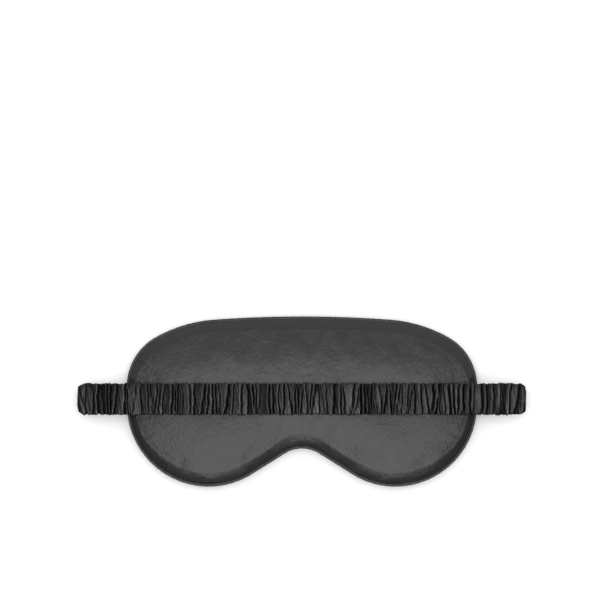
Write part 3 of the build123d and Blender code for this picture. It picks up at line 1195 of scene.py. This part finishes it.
@dataclass
class GatheredStrap:
    """Elastic band in a gathered satin sleeve.

    Attributes:
        path: The strap's middle line.
        middle: y of the middle line.
        half_width: Half the sleeve's width.
        finishes: The materials.
        base: Half thickness of the sleeve in the deepest groove.
        pleat_height: How far the highest crest stands over that.
        pitch: Scale of the gaps between the crests.
        step: Distance between rows of the sleeve.
        blur: Width over which the pleats are softened.
        sides: Points round the sleeve.
        seed: Seed of the pleats.
        seam_inside: How far inside the mask's edge the bend at the seam starts.
        seam_outside: How far outside the edge it ends.
        tip_inset: Where a tab's fold begins, short of its tip.
        fold_half: Half height between the start and end of the fold.
        span_cut: Distance from the mask's middle where the sleeve is cut in its upper layer.
        bend_from: Distance from the middle where the bend between arm and span starts.
        bend_to: Distance from the middle where it ends.
        pull_from: Distance from the middle where the strap starts to be pulled out.
        pull_to: Distance from the middle where it is pulled out fully.
        pieces: The pieces made so far.
    """

    path: StrapPath
    middle: float
    half_width: float
    finishes: Finishes
    base: float = 0.45 * MM
    pleat_height: float = 1.25 * MM
    pitch: float = 3.3 * MM
    step: float = 0.14 * MM
    blur: float = 0.18 * MM
    sides: int = 56
    seed: int = 7
    seam_inside: float = 1.4 * MM
    seam_outside: float = 2.6 * MM
    tip_inset: float = 4.2 * MM
    fold_half: float = 0.42 * MM
    span_cut: float = 52.0 * MM
    bend_from: float = 70.0 * MM
    bend_to: float = 53.0 * MM
    pull_from: float = 50.0 * MM
    pull_to: float = 4.0 * MM
    pieces: list[bpy.types.Object] = field(default_factory=list)

    def crests(self, w: np.ndarray, face: int) -> tuple[np.ndarray, np.ndarray, np.ndarray]:
        """Lines of the gathers' crests across the strap.

        Every crest leans and bows on its own, and may sink towards one edge; where two would
        cross they run together into a V.

        Args:
            w: Place across the strap, -1 to 1.
            face: 0 on the outer face, 1 on the inner face, which is gathered otherwise.

        Returns:
            The crests' distances along the strap and their heights, both crests x places
            across, and where the valley after each crest lies, as a share of the gap.
        """
        draw = np.random.default_rng(self.seed + 100 * face)
        count = int(1.3 * self.path.length() / self.pitch)
        gaps = self.pitch * np.minimum(0.35 + draw.gamma(2.2, 0.30, count), 1.7)
        place = np.cumsum(gaps) - 8 * MM
        lean, bow = draw.normal(0.0, 0.9, count) * MM, draw.normal(0.0, 0.5, count) * MM
        wobble = 0.22 * MM * waves(place[:, None] * 7.0 + 9 * MM * w[None], (7 * MM, 11 * MM), face)
        lines = place[:, None] + lean[:, None] * w[None] + bow[:, None] * (w[None] ** 2 - 0.4) + wobble
        height = draw.uniform(0.55, 1.0, count)
        fade = np.where(draw.random(count) < 0.4, draw.uniform(-1.0, 1.0, count), 0.0)
        heights = height[:, None] * (1.0 - 0.8 * smoothstep(fade[:, None] * w[None]))
        return np.sort(lines, axis=0), heights, draw.uniform(0.25, 0.75, count)

    def pleats(self, s: np.ndarray, w: np.ndarray, face: int) -> np.ndarray:
        """Height of the gathers, 0 in the deepest groove and 1 on the highest crest.

        Between two crests the satin falls steeply into a valley and levels off there, as
        1 - (1 - t) ** 2.2 of the way, and climbs again in the same manner.

        Args:
            s: Distance along the strap, one value for each row, evenly spaced.
            w: Place across it, -1 to 1, one value for each column.
            face: 0 on the outer face, 1 on the inner face.

        Returns:
            The height at each row and column.
        """
        places, index = np.unique(np.round(w, 6), return_inverse=True)
        lines, heights, valley = self.crests(places, face)
        groove = np.where(valley > 0.5, 0.75, 1.1) * MM
        floor = 0.22 + 0.30 * np.mod(valley * 7.0, 1.0)
        total = np.empty((len(s), len(places)))
        for j in range(len(places)):
            line = lines[:, j]
            after = np.clip(np.searchsorted(line, s), 1, len(line) - 1)
            gap = line[after] - line[after - 1]
            t = (s - line[after - 1]) / np.maximum(gap, 0.05 * MM)
            low = heights[after - 1, j], heights[after, j]
            depth = floor[after - 1]
            middle = valley[after - 1]
            fall = 1.0 - (1.0 - np.clip(t / middle, 0.0, 1.0)) ** 2.2
            climb = 1.0 - (1.0 - np.clip((1.0 - t) / (1.0 - middle), 0.0, 1.0)) ** 2.2
            total[:, j] = np.where(
                t < middle, low[0] + (depth - low[0]) * fall, low[1] + (depth - low[1]) * climb)
            side = line[after - 1] + groove[after - 1]
            total[:, j] -= 0.6 * np.exp(-(((s - side) / (0.34 * MM)) ** 2)) * low[0]
        slant = s[:, None] + 1.5 * MM * places[None]
        streaks = waves(slant, (1.3 * MM, 1.9 * MM, 2.7 * MM), self.seed + face)
        total += 0.06 * streaks
        reach = int(math.ceil(2.5 * self.blur / self.step))
        kernel = np.exp(-((np.arange(-reach, reach + 1) * self.step / self.blur) ** 2))
        padded = np.pad(total, ((reach, reach), (0, 0)), mode="edge")
        total = sum(k * padded[i:i + len(s)] for i, k in enumerate(kernel)) / kernel.sum()
        return np.clip(total, 0.0, 1.1)[:, index]

    def sleeve_points(self, start: float, end: float) -> tuple[np.ndarray, np.ndarray]:
        """Surface of the sleeve between two distances.

        The section is a flat rounded band, the superellipse with exponent 3, carried along
        the middle line; the pleats lift both faces and scallop both edges.

        Args:
            start: First distance.
            end: Last distance.

        Returns:
            The grid of points, and the pleats' height at each.
        """
        rows = max(3, int(round((end - start) / self.step)))
        s = np.linspace(start, end, rows)
        angle = np.arange(self.sides) * 2.0 * math.pi / self.sides
        across = np.sign(np.cos(angle)) * np.power(np.abs(np.cos(angle)), 0.62)
        upward = np.sign(np.sin(angle)) * np.power(np.abs(np.sin(angle)), 0.62)
        outer = self.pleats(s, across, 0)
        inner = self.pleats(s, across, 1)
        s, across, upward = np.broadcast_arrays(s[:, None], across[None], upward[None])
        mix = smoothstep((upward + 1.0) / 2.0)
        gather = outer * mix + inner * (1.0 - mix)
        place, tangent = self.path.at(s[:, 0])
        fold_at = self.path.distance_at(-self.path.fold_x, True)
        length = self.path.length()
        from_fold = np.minimum(np.abs(s - fold_at), np.abs(length - s - fold_at))
        corner = np.exp(-((from_fold / (2.2 * MM)) ** 2))
        inside = (upward < 0) * np.exp(-((from_fold / (7.0 * MM)) ** 2))
        half = self.half_width - 0.85 * MM + 0.85 * MM * gather - 1.6 * MM * corner
        half = half + 0.18 * MM * waves(s, (31 * MM, 13 * MM), 3)
        frill = waves(s + 37 * MM * np.sign(across), (2.3 * MM, 3.7 * MM, 5.9 * MM), 5)
        half = half + 0.28 * MM * frill * (1.0 - corner)
        thick = self.base + self.pleat_height * gather * (1.0 - 0.75 * inside)
        y = self.middle + across * half
        up = upward * thick
        x = place[:, None, 0] - tangent[:, None, 1] * up
        z = place[:, None, 1] + tangent[:, None, 0] * up
        return np.stack([x, np.broadcast_to(y, x.shape), z], axis=-1), gather

    def band_points(self, start: float, end: float) -> np.ndarray:
        """Surface of the elastic: a thin flat rounded band along the middle line.

        Args:
            start: First distance.
            end: Last distance.

        Returns:
            The grid of points.
        """
        rows = max(3, int(round((end - start) / (1.2 * MM))))
        s = np.linspace(start, end, rows)
        angle = np.arange(24) * 2.0 * math.pi / 24
        across = np.sign(np.cos(angle)) * np.power(np.abs(np.cos(angle)), 0.4)
        upward = np.sign(np.sin(angle)) * np.power(np.abs(np.sin(angle)), 0.4)
        place, tangent = self.path.at(s)
        up = 0.32 * MM * upward[None]
        x = place[:, None, 0] - tangent[:, None, 1] * up
        z = place[:, None, 1] + tangent[:, None, 0] * up
        y = np.broadcast_to(self.middle + across[None] * (self.half_width - 2.2 * MM), x.shape)
        return np.stack([x, y, z], axis=-1)

    def stretches(self) -> list[Stretch]:
        """The eight stretches, from the left seam to the right seam.

        Returns:
            The stretches.
        """
        path, mid = self.path, self.middle
        length = path.length()
        tip_x = -path.fold_x + self.tip_inset
        low_cut = path.distance_at(tip_x, False)
        high_cut = path.distance_at(tip_x, True)
        flat_cut = path.distance_at(-self.span_cut, True)
        fold_z = (path.tab_z + path.arm_z) / 2
        inside, outside = -path.seam_x + self.seam_inside, -path.seam_x - self.seam_outside
        seam = ((inside, mid, path.tab_z), (outside, mid, path.tab_z))
        fold = ((tip_x, mid, fold_z - self.fold_half), (tip_x, mid, fold_z + self.fold_half))
        bend = ((-self.bend_from, mid, path.top_z), (-self.bend_to, mid, path.top_z))
        pull = ((-self.pull_from, mid, path.top_z), (-self.pull_to, mid, path.top_z))

        def other(ends: tuple) -> tuple:
            """The same bend on the right side.

            Args:
                ends: Start and end of the bend on the left side.

            Returns:
                Its mirror image, from its far end to its near end.
            """
            return tuple((-x, y, z) for x, y, z in reversed(ends))

        return [
            Stretch("left_seam", 0.0, low_cut, ("mask", "left_tab"), seam, ("left_tab",)),
            Stretch("left_fold", low_cut, high_cut, ("left_tab", "left_arm"), fold, ()),
            Stretch("left_bend", high_cut, flat_cut, ("left_arm", "left_span"), bend,
                    ("left_arm", "left_span")),
            Stretch("left_pull", flat_cut, length / 2, ("left_span", "strap_centre"), pull,
                    ("strap_centre",)),
            Stretch("right_pull", length / 2, length - flat_cut, ("strap_centre", "right_span"),
                    other(pull), ("right_span",)),
            Stretch("right_bend", length - flat_cut, length - high_cut, ("right_span", "right_arm"),
                    other(bend), ("right_arm",)),
            Stretch("right_fold", length - high_cut, length - low_cut, ("right_arm", "right_tab"),
                    other(fold), ()),
            Stretch("right_seam", length - low_cut, length, ("right_tab",), None, ("right_tab",)),
        ]

    def attach(self, obj: bpy.types.Object, stretch: Stretch, suffix: str) -> None:
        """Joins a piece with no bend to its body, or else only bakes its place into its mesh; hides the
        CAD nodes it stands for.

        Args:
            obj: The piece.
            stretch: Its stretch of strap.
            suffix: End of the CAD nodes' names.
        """
        if stretch.bend is None:
            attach(obj, stretch.bodies[0])
        else:
            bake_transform(obj)
        if stretch.nodes:
            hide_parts(*(node + suffix for node in stretch.nodes))

    def build(self) -> list[bpy.types.Object]:
        """Makes the sleeve and the elastic, stretch by stretch.

        Returns:
            The pieces.
        """
        for stretch in self.stretches():
            points, gather = self.sleeve_points(stretch.start, stretch.end)
            sleeve = grid_mesh(f"sleeve_{stretch.name}", points, around=True, along=False, caps=True)
            # The fold mask is 0 in the grooves and 1 on the crests: the strap satin paints shade and takes
            # gloss away in the grooves by it.
            store(sleeve, "fold", np.clip((gather - 0.12) / 0.7, 0.0, 1.0) ** 1.5)
            face_outwards(sleeve)
            dress(sleeve, self.finishes.strap)
            self.attach(sleeve, stretch, "_sleeve")
            band = grid_mesh(f"elastic_{stretch.name}", self.band_points(stretch.start, stretch.end),
                             around=True, along=False, caps=True)
            face_outwards(band)
            dress(band, self.finishes.elastic)
            self.attach(band, stretch, "_elastic")
            self.pieces += [sleeve, band]
        return self.pieces


# ---------------------------------------------------------------------------------------
# Studio
# ---------------------------------------------------------------------------------------


@dataclass(frozen=True)
class SoftBox:
    """Oblong soft box.

    Attributes:
        name: Name of the light.
        place: Its middle.
        size: Its sides.
        radiance: Its brightness, where 1 is white.
        tilt: Turn about X in degrees: 0 faces down, -90 faces towards -Y.
        turn: Turn about Z in degrees, after the tilt.
        diffuse: Lights matt surfaces.
        glossy: Is seen in gloss.
    """

    name: str
    place: tuple[float, float, float]
    size: tuple[float, float]
    radiance: float
    tilt: float = 0.0
    turn: float = 0.0
    diffuse: bool = True
    glossy: bool = True

    def build(self) -> None:
        """Hangs the light; the camera doesn't see it."""
        data = bpy.data.lights.new(self.name, "AREA")
        data.shape = "RECTANGLE"
        data.size, data.size_y = self.size
        data.energy = self.radiance * math.pi * self.size[0] * self.size[1]
        obj = bpy.data.objects.new(self.name, data)
        obj.location = self.place
        obj.rotation_euler = (math.radians(self.tilt), 0.0, math.radians(self.turn))
        obj.visible_camera = False
        obj.visible_diffuse = self.diffuse
        obj.visible_glossy = self.glossy
        bpy.context.scene.collection.objects.link(obj)


@dataclass(frozen=True)
class Studio:
    """Pale floor, soft lights and a camera straight above the table.

    Attributes:
        frame_width: Width of the table that the picture shows.
        camera_height: Height of the camera over the table.
        aim: x and y that the camera looks at.
        boxes: The lights.
        surround: Brightness of the surroundings for matt surfaces.
        dim_surround: Brightness of the surroundings in gloss.
        floor_glow: Light that the table gives off itself.
        floor_half: Half the table top's side.
        floor_drop: How far the table top lies under the mask.
    """

    frame_width: float = 0.360
    camera_height: float = 2.4
    aim: tuple[float, float] = (-0.0012, 0.0608)
    boxes: tuple[SoftBox, ...] = (
        SoftBox("key_box", (0.0, -0.52, 1.2), (1.0, 1.2), 2.5, diffuse=False),
        SoftBox("top_box", (0.0, 0.70, 1.2), (2.2, 1.24), 0.44),
        SoftBox("brow_wall", (0.0, 1.32, 0.62), (2.4, 1.2), 0.64, tilt=-90.0),
        SoftBox("left_wall", (-1.2, 0.72, 0.62), (1.2, 1.2), 0.48, tilt=-90.0, turn=90.0),
        SoftBox("right_wall", (1.2, 0.72, 0.62), (1.2, 1.2), 0.48, tilt=-90.0, turn=-90.0),
        SoftBox("table_box", (0.0, 0.02, 1.25), (1.3, 1.2), 1.3, glossy=False),
    )
    surround: float = 0.68
    dim_surround: float = 0.05
    floor_glow: float = 0.11
    floor_half: float = 3.0
    floor_drop: float = 0.05 * MM

    def floor(self) -> None:
        """White table top that catches soft shadows."""
        sides = np.array([-self.floor_half, self.floor_half])
        x, y = np.meshgrid(sides, sides)
        points = np.stack([x, y, np.full(x.shape, -self.floor_drop)], axis=-1)
        obj = grid_mesh("table_top", points, around=False, along=False)
        material = bpy.data.materials.new("table_white")
        material.use_nodes = True
        shader = material.node_tree.nodes["Principled BSDF"]
        shader.inputs["Base Color"].default_value = (0.92, 0.92, 0.92, 1.0)
        shader.inputs["Roughness"].default_value = 0.9
        shader.inputs["Specular IOR Level"].default_value = 0.0
        shader.inputs["Emission Color"].default_value = (1.0, 1.0, 1.0, 1.0)
        shader.inputs["Emission Strength"].default_value = self.floor_glow
        dress(obj, material)
        obj.visible_glossy = False

    def world(self) -> None:
        """White surroundings that light evenly, and that the gloss of the satin sees as dim.

        The camera sees pure white behind the table, as on a paper sweep.
        """
        world = bpy.data.worlds.new("studio")
        bpy.context.scene.world = world
        world.use_nodes = True
        nodes, links = world.node_tree.nodes, world.node_tree.links
        even = nodes["Background"]
        even.inputs["Color"].default_value = (1.0, 1.0, 1.0, 1.0)
        even.inputs["Strength"].default_value = self.surround
        dim = nodes.new("ShaderNodeBackground")
        dim.inputs["Color"].default_value = (1.0, 1.0, 1.0, 1.0)
        dim.inputs["Strength"].default_value = self.dim_surround
        path = nodes.new("ShaderNodeLightPath")
        mix = nodes.new("ShaderNodeMixShader")
        links.new(path.outputs["Is Glossy Ray"], mix.inputs["Fac"])
        links.new(even.outputs["Background"], mix.inputs[1])
        links.new(dim.outputs["Background"], mix.inputs[2])
        white = nodes.new("ShaderNodeBackground")
        white.inputs["Color"].default_value = (1.0, 1.0, 1.0, 1.0)
        seen = nodes.new("ShaderNodeMixShader")
        links.new(path.outputs["Is Camera Ray"], seen.inputs["Fac"])
        links.new(mix.outputs["Shader"], seen.inputs[1])
        links.new(white.outputs["Background"], seen.inputs[2])
        links.new(seen.outputs["Shader"], nodes["World Output"].inputs["Surface"])

    def camera(self) -> None:
        """Long lens straight above, with the brow at the top of the picture."""
        data = bpy.data.cameras.new("camera")
        data.sensor_width = 36.0
        data.lens = data.sensor_width * self.camera_height / self.frame_width
        data.clip_end = 20.0
        obj = bpy.data.objects.new("camera", data)
        obj.location = (self.aim[0], self.aim[1], self.camera_height)
        bpy.context.scene.collection.objects.link(obj)
        bpy.context.scene.camera = obj

    def build(self) -> None:
        """Sets the whole studio."""
        self.floor()
        self.world()
        for box in self.boxes:
            box.build()
        self.camera()
        bpy.context.scene.view_settings.view_transform = "Standard"


def dress_inner_nodes(finishes: Finishes) -> None:
    """Gives the CAD nodes that stay their finishes.

    Args:
        finishes: The materials.
    """
    kinds = {
        "blackout_liner": finishes.lining,
        "piping_cord": finishes.cord,
        "seam_stitches": finishes.thread,
        "closing_stitches": finishes.thread,
        "left_strap_tack": finishes.thread,
        "right_strap_tack": finishes.thread,
        # The strap ends carry no fold attribute, so the strap satin draws them wholly in its painted
        # groove shade, with no gloss.
        "left_strap_end": finishes.strap,
        "right_strap_end": finishes.strap,
    }
    for node, material in kinds.items():
        dress(frame["nodes"][node], material)


def main() -> None:
    """Builds the mask piece by piece around the frame."""
    logging.basicConfig(level=logging.INFO, format="%(name)s %(message)s")
    Studio().build()
    finishes = Finishes.make()
    ring_low, ring_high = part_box("piping_cover")
    liner_low, liner_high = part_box("blackout_liner")
    _, cover_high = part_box("back_cover")
    outline = Outline(ring_high.x - ring_low.x, ring_high.y - ring_low.y)
    tab_low, tab_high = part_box("left_tab_sleeve")
    arm_low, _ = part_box("left_arm_sleeve")
    span_low, span_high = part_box("left_span_sleeve")
    thickness = span_high.z - span_low.z
    middle = (span_low.y + span_high.y) / 2
    body = PaddedBody(
        outline=outline,
        seam=(liner_low.z + liner_high.z) / 2,
        top=cover_high.z,
        tube=(ring_high.z - ring_low.z) / 2,
        tube_z=(ring_low.z + ring_high.z) / 2,
        strap_y=middle,
        finishes=finishes,
    )
    strap = GatheredStrap(
        path=StrapPath(
            seam_x=-tab_high.x,
            fold_x=-tab_low.x,
            tab_z=(tab_low.z + tab_high.z) / 2,
            arm_z=arm_low.z + thickness / 2,
            top_z=(span_low.z + span_high.z) / 2,
        ),
        middle=middle,
        half_width=(span_high.y - span_low.y) / 2,
        finishes=finishes,
    )
    for assembly in (body, strap):
        for piece in assembly.build():
            LOG.info("%s: %d faces", piece.name, len(piece.data.polygons))
    dress_inner_nodes(finishes)


if __name__ == "__main__":
    main()
